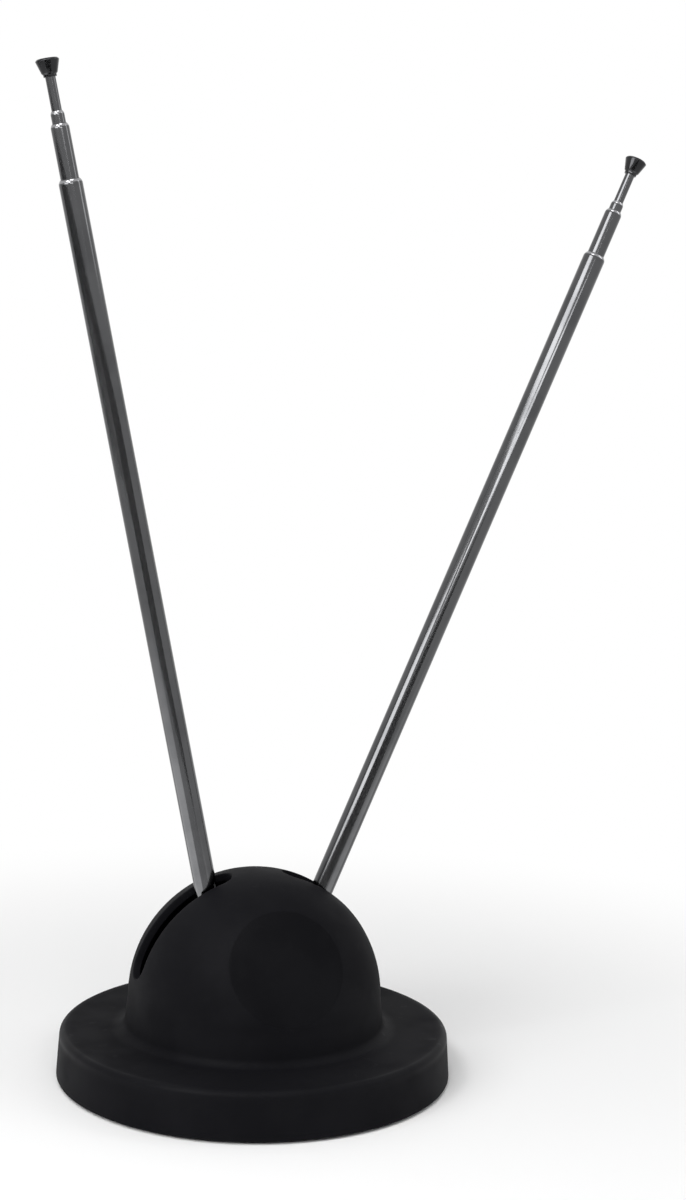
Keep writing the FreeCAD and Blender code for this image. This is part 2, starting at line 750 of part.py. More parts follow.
def lead(side, sign):
    """An insulated wire, back from the tail of a tag and down to the board."""
    wire = doc.addObject("Part::Feature", f"{side}_lead")
    across = sign * number("pivot_offset")
    start = Vector(across, number(NUT_START), number(f"{BOARD_TOP} + lead_rise"))
    end = Vector(across, number(BOARD_MIDDLE), number(BOARD_TOP))
    bend = number("lead_bend")
    bend_start = Vector(across, end.y - bend, start.z)
    bend_end = Vector(across, end.y, start.z - bend)
    corner = Vector(across, end.y, start.z)
    bend_centre = Vector(across, bend_start.y, bend_end.z)
    bend_middle = bend_centre + (corner - bend_centre).normalize() * bend
    path = Part.Wire([
        Part.LineSegment(start, bend_start).toShape(),
        Part.Arc(bend_start, bend_middle, bend_end).toShape(),
        Part.LineSegment(bend_end, end).toShape(),
    ])
    section = Part.Wire([Part.Circle(start, BACK, number("lead_radius")).toShape()])
    wire.Shape = path.makePipeShell([section], True, False)
    return keep(wire, f"{side}_lead")


def on_rod(body, sign, lean):
    """Leans a piece of a rod about its pivot."""
    set_lean(body, f"{sign} * {lean}")
    on_pivot(body, sign)


def rod_foot(side, sign, lean):
    """The lower end of a rod: a flat tongue on the pivot, a collar and a plug in the outer tube."""
    body = new_body(f"{side}_rod_foot")
    corners = [
        ("-rod_radius", "0"),
        ("rod_radius", "0"),
        ("rod_radius", "collar_start"),
        ("-rod_radius", "collar_start"),
    ]
    sketch = sketch_on(body, "tongue_outline", "XZ_Plane")
    outline(sketch, corners, arcs={0: ("0", "0", "DistanceY")})
    extrude(body, "tongue", sketch, "tongue_thickness", both_ways=True)
    plug_radius = f"({OUTER_BORE} - plug_clearance)"
    plug_top = f"({OUTER_START} + plug_length)"
    corners = [
        ("0", "collar_start"),
        ("rod_radius", "collar_start"),
        ("rod_radius", OUTER_START),
        (plug_radius, OUTER_START),
        (plug_radius, plug_top),
        ("0", plug_top),
    ]
    revolve(body, "collar_and_plug", corners)
    hole = circle(sketch_on(body, "hole_circle", "XZ_Plane"), "0", "0", "pivot_radius + pivot_clearance")
    extrude(body, "pivot_hole", hole, "2 * tongue_thickness", "Pocket", both_ways=True)
    on_rod(body, sign, lean)
    return keep(body, f"{side}_rod_foot")


def neck_corners(radius, wall, inner_radius, top, neck):
    """The rolled end of a tube, from the outside of its shoulder to the inside. Its first side is an arc."""
    lip_inside = f"({inner_radius} + slide_clearance)"
    lip_outside = f"({lip_inside} + neck_lip)"
    return [
        (radius, f"{top} - {neck}"),
        (lip_outside, top),
        (lip_inside, top),
        (lip_inside, f"{top} - {neck} / 2"),
        (f"{radius} - {wall}", f"{top} - {neck} - {wall}"),
    ]


def neck_arc(radius, inner_radius, top, neck):
    """The centre of a rolled end's arc, which leaves the wall of the tube smoothly."""
    drop = f"({radius} - {inner_radius} - slide_clearance - neck_lip)"
    arc_radius = f"(({neck} ^ 2 + {drop} ^ 2) / (2 * {drop}))"
    return (f"{radius} - {arc_radius}", f"{top} - {neck}", "DistanceY")


def outer_tube(side, sign, lean):
    body = new_body(f"{side}_outer_tube")
    corners = [(OUTER_BORE, OUTER_START), ("rod_radius", OUTER_START)]
    arcs = {len(corners): neck_arc("rod_radius", SECOND_RADIUS, OUTER_TOP, "outer_neck")}
    corners += neck_corners("rod_radius", "outer_wall", SECOND_RADIUS, OUTER_TOP, "outer_neck")
    revolve(body, "tube", corners, arcs=arcs)
    on_rod(body, sign, lean)
    return keep(body, f"{side}_outer_tube")


def heel_corners(radius, bore, start):
    """The lower end of a sliding section: a heel and a bead, with the friction sleeve's seat between."""
    guide = f"({bore} - slide_clearance)"
    heel_top = f"({start} + heel_height)"
    bead_start = f"({heel_top} + sleeve_length + 2 * sleeve_play)"
    bead_top = f"({bead_start} + bead_height)"
    return [
        ("0", start),
        (guide, start),
        (guide, heel_top),
        (radius, heel_top),
        (radius, bead_start),
        (guide, bead_start),
        (guide, bead_top),
        (radius, bead_top),
    ]


def sliding_tube(side, sign, lean, stage, radius, wall, bore, inner_radius, start, top, neck):
    body = new_body(f"{side}_{stage}_tube")
    corners = heel_corners(radius, bore, start)
    arcs = {len(corners): neck_arc(radius, inner_radius, top, neck)}
    corners += neck_corners(radius, wall, inner_radius, top, neck)
    corners += [(f"{radius} - {wall}", f"{start} + floor"), ("0", f"{start} + floor")]
    revolve(body, "tube", corners, arcs=arcs)
    on_rod(body, sign, lean)
    return keep(body, f"{side}_{stage}_tube")


def friction_sleeve(side, sign, lean, stage, radius, bore, start):
    """A springy split sleeve, held between the heel and the bead of a sliding section."""
    body = new_body(f"{side}_{stage}_sleeve")
    low = f"({start} + heel_height + sleeve_play)"
    high = f"({low} + sleeve_length)"
    revolve(body, "sleeve", box_corners(radius, f"{bore} - slide_clearance", low, high))
    slit = box_corners("0", bore, f"{low} - sleeve_play", f"{high} + sleeve_play")
    sketch = outline(sketch_on(body, "slit_outline", "XZ_Plane"), slit)
    extrude(body, "slit", sketch, "sleeve_slit", "Pocket", both_ways=True)
    on_rod(body, sign, lean)
    return keep(body, f"{side}_{stage}_sleeve")


def tip_rod(side, sign, lean, start, cap_start):
    body = new_body(f"{side}_tip_rod")
    end = f"{cap_start} + cap_socket"
    corners = heel_corners(TIP_RADIUS, THIRD_BORE, start) + [(TIP_RADIUS, end), ("0", end)]
    revolve(body, "rod", corners)
    on_rod(body, sign, lean)
    return keep(body, f"{side}_tip_rod")


def tip_cap(side, sign, lean, start):
    """A cap that widens towards its top, by which the rod is pulled out."""
    body = new_body(f"{side}_tip_cap")
    socket_radius = f"({TIP_RADIUS} + cap_clearance)"
    collar_top = f"({start} + cap_collar_height)"
    cone_start = f"({collar_top} + cap_shoulder_height)"
    top = f"({start} + cap_height)"
    corners = [
        (socket_radius, start),
        ("cap_collar_radius", start),
        ("cap_collar_radius", collar_top),
        ("cap_lower_radius", cone_start),
        ("cap_radius", f"{top} - cap_crown"),
        ("cap_radius - cap_crown", top),
        ("0", top),
        ("0", f"{start} + cap_socket"),
        (socket_radius, f"{start} + cap_socket"),
    ]
    revolve(body, "cap", corners)
    on_rod(body, sign, lean)
    return keep(body, f"{side}_tip_cap")


def rod(side, sign, lean):
    at = (side, sign, lean)
    second_out, third_out = SECTIONS_OUT[side]
    second_start = f"({SECOND_START} + {second_out})"
    third_start = f"({THIRD_START} + {third_out})"
    tip_start = f"({TIP_START} + {third_out})"
    cap_start = f"({CAP_START} + {third_out})"
    rod_foot(*at)
    outer_tube(*at)
    sliding_tube(
        *at, "second", SECOND_RADIUS, "second_wall", OUTER_BORE, THIRD_RADIUS, second_start,
        f"({SECOND_TOP} + {second_out})", "second_neck")
    friction_sleeve(*at, "second", SECOND_RADIUS, OUTER_BORE, second_start)
    sliding_tube(
        *at, "third", THIRD_RADIUS, "third_wall", SECOND_BORE, TIP_RADIUS, third_start,
        f"({THIRD_TOP} + {third_out})", "third_neck")
    friction_sleeve(*at, "third", THIRD_RADIUS, SECOND_BORE, third_start)
    tip_rod(*at, tip_start, cap_start)
    friction_sleeve(*at, "tip", TIP_RADIUS, THIRD_BORE, tip_start)
    tip_cap(*at, cap_start)


def check_and_write():
    doc.recompute()
    for thing in doc.Objects:
        if "Invalid" in thing.State or "Error" in thing.State:
            raise RuntimeError(f"{thing.Label} failed: {thing.State}")
    for piece in pieces:
        if piece.Shape.isNull() or not piece.Shape.isValid():
            raise RuntimeError(f"{piece.Label} has no valid shape")
    os.makedirs("parts", exist_ok=True)
    for piece in pieces:
        piece.Shape.exportStep(f"parts/{piece.Label}.step")
        print(f"{piece.Label}: {len(piece.Shape.Solids)} solid(s), {piece.Shape.Volume:.1f} mm3")


fill_sheet()
housing_shell()
bottom_cover()
cover_screws()
foot_pad()
ballast_plate()
pivot_carrier()
carrier_screws()
balun_board()
balun_core()
for side_name, side_sign in SIDES.items():
    for make in (pivot_screw, pivot_nut, spring_washer, plain_washer, solder_tag, lead):
        make(side_name, side_sign)
    rod(side_name, side_sign, f"{side_name}_lean")
check_and_write()
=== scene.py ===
from math import asin, atan2, cos, degrees, pi, radians, sin, sqrt, tan

import bmesh
import bpy
from mathutils import Matrix, Vector


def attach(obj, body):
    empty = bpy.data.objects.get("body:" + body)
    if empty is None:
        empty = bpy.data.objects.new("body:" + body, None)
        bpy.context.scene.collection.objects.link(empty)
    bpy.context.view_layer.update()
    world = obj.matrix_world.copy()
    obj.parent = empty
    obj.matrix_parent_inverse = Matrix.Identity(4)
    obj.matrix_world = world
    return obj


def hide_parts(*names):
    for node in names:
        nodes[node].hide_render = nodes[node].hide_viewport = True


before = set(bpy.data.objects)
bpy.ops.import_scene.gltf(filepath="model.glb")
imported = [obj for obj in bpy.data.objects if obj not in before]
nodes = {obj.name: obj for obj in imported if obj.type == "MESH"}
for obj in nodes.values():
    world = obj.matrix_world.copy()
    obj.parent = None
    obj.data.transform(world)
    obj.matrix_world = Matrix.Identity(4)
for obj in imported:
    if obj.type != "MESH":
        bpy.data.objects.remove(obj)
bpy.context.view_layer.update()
mm = 0.001  # the dictionaries give lengths in mm and angles in degrees
sameWithin = {"point": 1e-7, "plane": 1e-6, "merge": 1e-6, "level": 1e-5, "ring": 2e-5}  # in metres
print("frame loaded,", len(nodes), "nodes")


# selecting and editing
def clearSelection():
    if bpy.context.object and bpy.context.object.mode != "OBJECT":
        bpy.ops.object.mode_set(mode="OBJECT")
    bpy.ops.object.select_all(action="DESELECT")


def openPiece(name):  # names the primitive just added and opens it in edit mode
    piece = bpy.context.object
    piece.name = piece.data.name = name
    bpy.ops.object.transform_apply(location=True, rotation=True, scale=True)
    bpy.ops.object.mode_set(mode="EDIT")
    bpy.ops.mesh.select_mode(type="VERT")
    bpy.ops.mesh.select_all(action="SELECT")
    return piece


def pick(kind, test):  # selects the verts, edges or faces that pass a test
    modes = {"verts": "VERT", "edges": "EDGE", "faces": "FACE"}
    bpy.ops.mesh.select_mode(type=modes[kind])
    bpy.ops.mesh.select_all(action="DESELECT")
    mesh = bmesh.from_edit_mesh(bpy.context.edit_object.data)
    for part in getattr(mesh, kind):
        if test(part):
            part.select_set(True)
    mesh.select_flush_mode()
    bmesh.update_edit_mesh(bpy.context.edit_object.data)


def choose(piece):  # selects one whole object and makes it active
    clearSelection()
    piece.select_set(True)
    bpy.context.view_layer.objects.active = piece


def applyModifier(piece, kind, **settings):
    choose(piece)
    modifier = piece.modifiers.new(kind.lower(), kind)
    for key, value in settings.items():
        setattr(modifier, key, value)
    bpy.ops.object.modifier_apply(modifier=modifier.name)


def smooth(piece, angle):
    choose(piece)
    bpy.ops.object.shade_smooth_by_angle(angle=radians(angle))


# a turned piece: the half outline drawn point by point, its corners rounded, then spun about Z
def turn(name, corners, steps, rounds=None):
    clearSelection()
    radius, height = corners[0]
    bpy.ops.mesh.primitive_plane_add(size=mm, location=(radius * mm, 0, height * mm))
    piece = openPiece(name)
    bpy.ops.mesh.merge(type="CENTER")
    for nextRadius, nextHeight in corners[1:]:
        step = ((nextRadius - radius) * mm, 0, (nextHeight - height) * mm)
        bpy.ops.mesh.extrude_region_move(TRANSFORM_OT_translate={"value": step})
        radius, height = nextRadius, nextHeight
    if corners[0][0] > 0:  # an outline that starts on the axis stays open there
        ends = [Vector((r * mm, 0, z * mm)) for r, z in (corners[0], corners[-1])]
        pick("verts", lambda vert: min((vert.co - end).length for end in ends) < sameWithin["point"])
        bpy.ops.mesh.edge_face_add()
    for index, (size, segments) in (rounds or {}).items():
        before, corner, after = (Vector(corners[(index + k) % len(corners)]) for k in (-1, 0, 1))
        bend = (corner - before).angle(after - corner)
        place = Vector((corner[0] * mm, 0, corner[1] * mm))
        pick("verts", lambda vert: (vert.co - place).length < sameWithin["point"])
        bpy.ops.mesh.bevel(offset=size * tan(bend / 2) * mm, segments=segments, affect="VERTICES")
    bpy.ops.mesh.select_all(action="SELECT")
    bpy.ops.mesh.spin(steps=steps, angle=2 * pi, center=(0, 0, 0), axis=(0, 0, 1))
    bpy.ops.mesh.select_all(action="SELECT")
    bpy.ops.mesh.remove_doubles(threshold=sameWithin["merge"])
    bpy.ops.mesh.normals_make_consistent(inside=False)
    bpy.ops.object.mode_set(mode="OBJECT")
    return piece


# the moulded base: disc, skirt and dome in one shell
housingLook = {
    "domeRadius": 39.2, "domeCentre": 25.3, "deckRadius": 60.0, "wall": 2.2,
    "steps": [  # radius and height of each ring below the dome
        (39.4, 23.5), (40.0, 18.2), (40.3, 15.2), (44.5, 15.2), (50.0, 15.2), (56.5, 15.2), (60.0, 15.2),
        (60.2, 12.3), (60.5, 8.0), (60.85, 3.0), (61.0, 0.8),
    ],
    "roundings": [  # ring, size and segments: foot of the skirt, rim of the deck, lower edge
        (40.3, 15.2, 2.5, 8), (60.0, 15.2, 1.8, 8), (61.0, 0.8, 0.6, 4),
    ],
    "flatRadius": 17.4, "flatTilt": 28.3, "flatEdge": 0.35, "flatSegments": 3, "flatInsets": (0.6, 3.0, 6.0),
    "slotHalf": 4.7, "slotNear": 16.0, "slotFar": 58.0, "slotSides": 64, "slotSteps": 24,
    "upright": 4.5, "lowered": 78.0,  # a rod's lean at the two ends of its slot
    "mouthRound": 0.4, "mouthSegments": 3, "mouthAngle": 40,
    "outletRadius": 3.0, "outletHeight": 8.4, "outletDepth": 12.0, "outletSides": 48,
    "bosses": {
        "radius": 4.0, "low": 3.8, "high": 13.6, "pilot": 1.55, "depth": 8.0, "reach": 49.0, "sides": 32,
        "count": 4},
    "posts": {
        "radius": 3.5, "low": 18.0, "high": 62.0, "pilot": 1.55, "depth": 8.3, "reach": 23.0, "sides": 32},
    # fineness of the mesh, and how near a place has to be to be picked
    "around": 128, "rings": 64, "poleShare": 0.97, "poleLift": 0.3, "poleMerge": 0.7, "flatMerge": 0.5,
    "uprightRings": 4, "ringSlack": 0.1, "levelSlack": 0.3, "mouthSlack": 0.05, "mouthMargin": 0.02,
    "mouthLift": 1.0, "sliver": 0.003, "smoothAngle": 28,
}
pivot = {"offset": 10.5, "height": 32.0}
leans = {"left": -11.8, "right": 23.45}  # from upright, to the right


# the room that one rod sweeps on the +X side: half a cylinder swung round the pivot
def slotCutter(look):
    upright, swing = radians(look["upright"]), radians(look["lowered"] - look["upright"])
    centre = Vector((pivot["offset"] * mm, 0, pivot["height"] * mm))
    along = Vector((sin(upright), 0, cos(upright)))
    across = Vector((cos(upright), 0, -sin(upright)))
    near, far = look["slotNear"] * mm, look["slotFar"] * mm
    clearSelection()
    bpy.ops.mesh.primitive_cylinder_add(
        vertices=look["slotSides"], radius=look["slotHalf"] * mm, depth=far - near, end_fill_type="TRIFAN",
        location=centre + along * (near + far) / 2, rotation=(0, upright, 0))
    cutter = openPiece("slotCutter")
    pick("faces", lambda face: (face.calc_center_median() - centre).dot(across) > 0)
    for step in range(look["slotSteps"]):
        bpy.ops.mesh.extrude_region_move()
        bpy.ops.transform.rotate(value=-swing / look["slotSteps"], orient_axis="Y", center_override=centre)
    bpy.ops.mesh.select_all(action="SELECT")
    bpy.ops.mesh.normals_make_consistent(inside=False)
    bpy.ops.object.mode_set(mode="OBJECT")
    return cutter


# a screw stud with its pilot hole, ended in the wall that carries it
def makeStud(name, look, angle, ends=()):
    clearSelection()
    middle = (look["low"] + look["high"]) / 2
    place = Vector((look["reach"] * cos(angle), look["reach"] * sin(angle), middle))
    bpy.ops.mesh.primitive_cylinder_add(
        vertices=look["sides"], radius=look["radius"] * mm, depth=(look["high"] - look["low"]) * mm,
        location=place * mm)
    stud = openPiece(name)
    pick("faces", lambda face: face.normal.z < -0.9)
    bpy.ops.mesh.inset(thickness=(look["radius"] - look["pilot"]) * mm)
    bpy.ops.mesh.extrude_region_move(TRANSFORM_OT_translate={"value": (0, 0, look["depth"] * mm)})
    for end, normal in ends:
        bpy.ops.mesh.select_all(action="SELECT")
        bpy.ops.mesh.bisect(plane_co=end, plane_no=normal, clear_outer=True, use_fill=True)
    bpy.ops.object.mode_set(mode="OBJECT")
    return stud


def onRing(radius, height):  # a test for the edges of one level ring
    slack = sameWithin["ring"]

    def test(edge):
        return all(
            abs(vert.co.xy.length - radius * mm) < slack and abs(vert.co.z - height * mm) < slack
            for vert in edge.verts)
    return test


def makeHousing(look):
    middle = look["domeCentre"] * mm
    dome = look["domeRadius"] * mm
    clearSelection()
    bpy.ops.mesh.primitive_uv_sphere_add(  # poles front and rear, so that level rings follow the slots
        segments=look["around"], ring_count=look["rings"], radius=dome, location=(0, 0, middle),
        rotation=(pi / 2, 0, 0))
    shell = openPiece("housing")
    pick("faces", lambda face: face.calc_center_median().z < middle)
    bpy.ops.mesh.delete(type="FACE")
    # thin out the crowded faces at the two poles
    pick("verts", lambda vert: (
        abs(vert.co.y) > look["poleShare"] * dome and vert.co.z > middle + look["poleLift"] * mm))
    bpy.ops.mesh.remove_doubles(threshold=look["poleMerge"] * mm)
    # flat field on the front
    tilt = radians(look["flatTilt"])
    flatNormal = Vector((0, -cos(tilt), sin(tilt)))
    flatDistance = sqrt(dome ** 2 - (look["flatRadius"] * mm) ** 2)
    flatPlace = flatDistance + flatNormal.z * middle

    def inFlat(vert):
        return abs(vert.co.dot(flatNormal) - flatPlace) < sameWithin["plane"]

    def onFlat(part):
        return all(inFlat(vert) for vert in part.verts)

    bpy.ops.mesh.select_all(action="SELECT")
    bpy.ops.mesh.bisect(
        plane_co=Vector((0, 0, middle)) + flatNormal * flatDistance, plane_no=flatNormal, clear_outer=True,
        use_fill=True)
    pick("verts", inFlat)
    bpy.ops.mesh.remove_doubles(threshold=look["flatMerge"] * mm)
    # skirt, deck and side, extruded step by step from the open rim
    pick("edges", lambda edge: edge.is_boundary)
    radius, height = look["domeRadius"], look["domeCentre"]
    for nextRadius, nextHeight in look["steps"]:
        bpy.ops.mesh.extrude_region_move(
            TRANSFORM_OT_translate={"value": (0, 0, (nextHeight - height) * mm)})
        grow = nextRadius / radius
        bpy.ops.transform.resize(value=(grow, grow, 1), center_override=(0, 0, nextHeight * mm))
        radius, height = nextRadius, nextHeight
    bpy.ops.mesh.select_all(action="SELECT")
    bpy.ops.mesh.normals_make_consistent(inside=False)
    bpy.ops.object.mode_set(mode="OBJECT")
    applyModifier(shell, "SOLIDIFY", thickness=look["wall"] * mm, offset=-1, use_even_offset=True)
    # the side wall is upright on its inside, and its lower edge is level
    bpy.ops.object.mode_set(mode="EDIT")
    for radius, height in look["steps"][-look["uprightRings"]:]:
        inside = radius - look["wall"]
        pick("verts", lambda vert: (
            abs(vert.co.xy.length - inside * mm) < look["ringSlack"] * mm
            and abs(vert.co.z - height * mm) < look["levelSlack"] * mm))
        grow = (look["deckRadius"] - look["wall"]) / inside
        bpy.ops.transform.resize(value=(grow, grow, 1), center_override=(0, 0, 0))
    lowest = look["steps"][-1][1] * mm
    pick("verts", lambda vert: vert.co.z < lowest + sameWithin["level"])
    bpy.ops.transform.resize(value=(1, 1, 0), center_override=(0, 0, lowest))
    # rounded edges on the outside
    for radius, height, size, segments in look["roundings"]:
        pick("edges", onRing(radius, height))
        bpy.ops.mesh.bevel(offset=size * mm, segments=segments, affect="EDGES")
    pick("edges", onFlat)
    bpy.ops.mesh.bevel(offset=look["flatEdge"] * mm, segments=look["flatSegments"], affect="EDGES")
    pick("faces", onFlat)
    for width in look["flatInsets"]:
        bpy.ops.mesh.inset(thickness=width * mm)
    bpy.ops.object.mode_set(mode="OBJECT")
    # screw studs: bosses under the deck, and two posts under the dome
    bosses, posts = look["bosses"], look["posts"]
    count = bosses["count"]
    studs = [makeStud("boss", bosses, 2 * pi * (k + 0.5) / count) for k in range(count)]
    centre = Vector((0, 0, middle))
    halfWall = look["wall"] / 2 * mm
    flatEnd = (centre + flatNormal * (flatDistance - halfWall), flatNormal)
    for sign in (1, -1):
        towards = sign * posts["reach"] * mm / (dome - halfWall)
        normal = Vector((0, towards, sqrt(1 - towards ** 2)))
        ends = [(centre + normal * (dome - halfWall), normal), flatEnd]
        studs.append(makeStud("post", posts, sign * pi / 2, ends))
    for stud in studs:
        applyModifier(shell, "BOOLEAN", operation="UNION", object=stud, solver="EXACT")
        bpy.data.objects.remove(stud)
    # slots for the rods, their mouths rounded, and the outlet in the rear wall
    cutter = slotCutter(look)
    for turnAngle in (0, pi):
        cutter.rotation_euler = (0, 0, turnAngle)
        bpy.context.view_layer.update()
        applyModifier(shell, "BOOLEAN", operation="DIFFERENCE", object=cutter, solver="EXACT")
    bpy.data.objects.remove(cutter)

    def onMouth(edge):
        half = (look["slotHalf"] + look["mouthMargin"]) * mm
        onDome = all(
            abs((vert.co - centre).length - dome) < look["mouthSlack"] * mm and abs(vert.co.y) < half
            for vert in edge.verts)
        raised = edge.verts[0].co.z > middle + look["mouthLift"] * mm
        return onDome and raised and edge.calc_face_angle(0) > radians(look["mouthAngle"])

    bpy.ops.object.mode_set(mode="EDIT")
    pick("edges", onMouth)
    bpy.ops.mesh.bevel(offset=look["mouthRound"] * mm, segments=look["mouthSegments"], affect="EDGES")
    bpy.ops.object.mode_set(mode="OBJECT")
    clearSelection()
    bpy.ops.mesh.primitive_cylinder_add(
        vertices=look["outletSides"], radius=look["outletRadius"] * mm, depth=look["outletDepth"] * mm,
        location=(0, look["deckRadius"] * mm, look["outletHeight"] * mm), rotation=(pi / 2, 0, 0))
    drill = bpy.context.object
    applyModifier(shell, "BOOLEAN", operation="DIFFERENCE", object=drill, solver="EXACT")
    bpy.data.objects.remove(drill)
    # merge the slivers that the cuts leave behind
    choose(shell)
    bpy.ops.object.mode_set(mode="EDIT")
    bpy.ops.mesh.select_mode(type="VERT")
    bpy.ops.mesh.select_all(action="SELECT")
    bpy.ops.mesh.remove_doubles(threshold=look["sliver"] * mm)
    bpy.ops.mesh.dissolve_degenerate(threshold=look["sliver"] * mm)
    bpy.ops.object.mode_set(mode="OBJECT")
    smooth(shell, look["smoothAngle"])
    print("housing:", len(shell.data.polygons), "faces")
    return shell


housing = makeHousing(housingLook)
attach(housing, "base")
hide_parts("housing_shell")


# the telescopic rods: each section turned once upright, then copied to both sides
rodLook = {
    "around": 64, "smoothAngle": 32, "start": 8.4, "neckLip": 0.1, "slide": 0.05,
    "heel": 1.2, "sleeve": 9.0, "play": 0.2, "bead": 0.8, "floor": 0.8,
    "rollSteps": 6, "rollSlope": (0.25, 0.62),  # upward parts of the normals on the slope where the glint is painted
    "outer": {"radius": 3.5, "wall": 0.35, "top": 244.4, "neck": 1.5},
    "second": {"radius": 2.7, "wall": 0.35, "start": 16.7, "top": 259.6, "neck": 1.4},
    "third": {"radius": 2.0, "wall": 0.3, "start": 17.8, "top": 262.5, "neck": 1.1},
    "tip": {"radius": 1.5, "start": 18.9},
    "pulledOut": {  # the left rod's sections are left a little pulled out
        "left": {"second_tube": 0.6, "third_tube": 1.2, "tip_rod": 1.2, "tip_cap": 1.2}, "right": {},
    },
}
capLook = {
    "start": 272.1, "height": 5.2, "radius": 3.5, "lowerRadius": 2.35, "collarRadius": 1.95,
    "collarHeight": 0.7, "shoulder": 0.4, "crown": 0.5, "socket": 3.6, "clearance": 0.02,
    "rounds": {3: (0.15, 3), 5: (0.35, 4), 6: (0.3, 4), 7: (0.3, 4)},  # corner, size and segments
}


def neckCorners(look, section, inner):  # rolled end of a tube, shoulder to inside
    tube = look[section]
    lipInside = look[inner]["radius"] + look["slide"]
    drop = tube["radius"] - lipInside - look["neckLip"]
    bend = (tube["neck"] ** 2 + drop ** 2) / (2 * drop)  # radius on which the wall is rolled in
    sweep = asin(tube["neck"] / bend)
    shoulder = tube["top"] - tube["neck"]
    roll = []
    for step in range(look["rollSteps"] + 1):
        angle = sweep * step / look["rollSteps"]
        roll.append((tube["radius"] - bend + bend * cos(angle), shoulder + bend * sin(angle)))
    return roll + [
        (lipInside, tube["top"]),
        (lipInside, tube["top"] - tube["neck"] / 2),
        (tube["radius"] - tube["wall"], shoulder - tube["wall"]),
    ]


def heelCorners(look, section, bore):  # lower end of a sliding section: heel, sleeve seat and bead
    start = look[section]["start"]
    radius = look[section]["radius"]
    guide = bore - look["slide"]
    heelTop = start + look["heel"]
    beadStart = heelTop + look["sleeve"] + 2 * look["play"]
    beadTop = beadStart + look["bead"]
    return [
        (0, start), (guide, start), (guide, heelTop), (radius, heelTop),
        (radius, beadStart), (guide, beadStart), (guide, beadTop), (radius, beadTop),
    ]


def markPaintedGlint(piece, look, section):  # marks the upward band of the rolled end's slope, where a glint is painted in a brighter colour
    low, high = look["rollSlope"]
    start = (look[section]["top"] - look[section]["neck"]) * mm
    rolled = piece.data.attributes.new("rolled", "FLOAT", "FACE")
    for face, mark in zip(piece.data.polygons, rolled.data):
        mark.value = float(face.center.z > start and low < face.normal.z < high)


def makeSections(look):
    outer, second, third = look["outer"], look["second"], look["third"]
    steps = look["around"]
    outerBore = outer["radius"] - outer["wall"]
    corners = [(outerBore, look["start"]), (outer["radius"], look["start"])]
    corners += neckCorners(look, "outer", "second")
    sections = {"outer_tube": turn("outerTube", corners, steps)}
    chain = [("second", "third", outerBore), ("third", "tip", second["radius"] - second["wall"])]
    for section, inner, bore in chain:
        tube = look[section]
        inside = tube["radius"] - tube["wall"]
        corners = heelCorners(look, section, bore)
        corners += neckCorners(look, section, inner)
        corners += [(inside, tube["start"] + look["floor"]), (0, tube["start"] + look["floor"])]
        sections[section + "_tube"] = turn(section + "Tube", corners, steps)
    rodEnd = capLook["start"] + capLook["socket"]
    tipRadius = look["tip"]["radius"]
    corners = heelCorners(look, "tip", third["radius"] - third["wall"])
    corners += [(tipRadius, rodEnd), (0, rodEnd)]
    sections["tip_rod"] = turn("tipRod", corners, steps)
    for section in ("outer", "second", "third"):
        markPaintedGlint(sections[section + "_tube"], look, section)
    return sections


def makeCap(look):
    start, top = look["start"], look["start"] + look["height"]
    socket = rodLook["tip"]["radius"] + look["clearance"]
    collarTop = start + look["collarHeight"]
    corners = [
        (0, start + look["socket"]), (socket, start + look["socket"]), (socket, start),
        (look["collarRadius"], start), (look["collarRadius"], collarTop),
        (look["lowerRadius"], collarTop + look["shoulder"]), (look["radius"], top - look["crown"]),
        (look["radius"] - look["crown"], top), (0, top),
    ]
    return turn("tipCap", corners, rodLook["around"], look["rounds"])


bodyOf = {
    "outer_tube": "rod", "second_tube": "second_section", "third_tube": "third_section",
    "tip_rod": "tip_section", "tip_cap": "tip_section",
}
masters = makeSections(rodLook)
masters["tip_cap"] = makeCap(capLook)
rodPieces = {}
for side, lean in leans.items():
    tilt = radians(lean)
    across = pivot["offset"] * mm * (1 if lean > 0 else -1)
    for part, master in masters.items():
        choose(master)
        bpy.ops.object.duplicate(linked=False)
        piece = bpy.context.object
        piece.name = piece.data.name = side + master.name[0].upper() + master.name[1:]
        out = rodLook["pulledOut"][side].get(part, 0) * mm
        piece.rotation_euler = (0, tilt, 0)
        piece.location = (across + out * sin(tilt), 0, pivot["height"] * mm + out * cos(tilt))
        bpy.ops.object.transform_apply(location=True, rotation=True, scale=True)
        smooth(piece, rodLook["smoothAngle"])
        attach(piece, side + "_" + bodyOf[part])
        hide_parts(side + "_" + part)
        rodPieces[side, part] = piece
for master in masters.values():
    bpy.data.objects.remove(master)
print("rods:", len(rodPieces), "pieces")

# camera at the photograph's place
cameraLook = {
    "place": (-188.9, -597.7, 223.1), "target": (23.31, -7.54, 148.96), "roll": 1.41,
    "lens": 62.25, "sensor": 36,
}
bpy.ops.object.camera_add(location=[value * mm for value in cameraLook["place"]])
camera = bpy.context.object
aim = Vector(cameraLook["target"]) - Vector(cameraLook["place"])
facing = aim.to_track_quat("-Z", "Y").to_matrix() @ Matrix.Rotation(radians(cameraLook["roll"]), 3, "Z")
camera.rotation_euler = facing.to_euler()
camera.data.lens = cameraLook["lens"]
camera.data.sensor_width = cameraLook["sensor"]
bpy.context.scene.camera = camera
print("camera: lens", cameraLook["lens"])


# shader trees
def addNode(tree, kind, inputs=None, **settings):
    node = tree.nodes.new("ShaderNode" + kind)
    for key, value in settings.items():
        setattr(node, key, value)
    for key, value in (inputs or {}).items():
        if isinstance(value, bpy.types.NodeSocket):
            tree.links.new(value, node.inputs[key])
        else:
            node.inputs[key].default_value = value
    return node


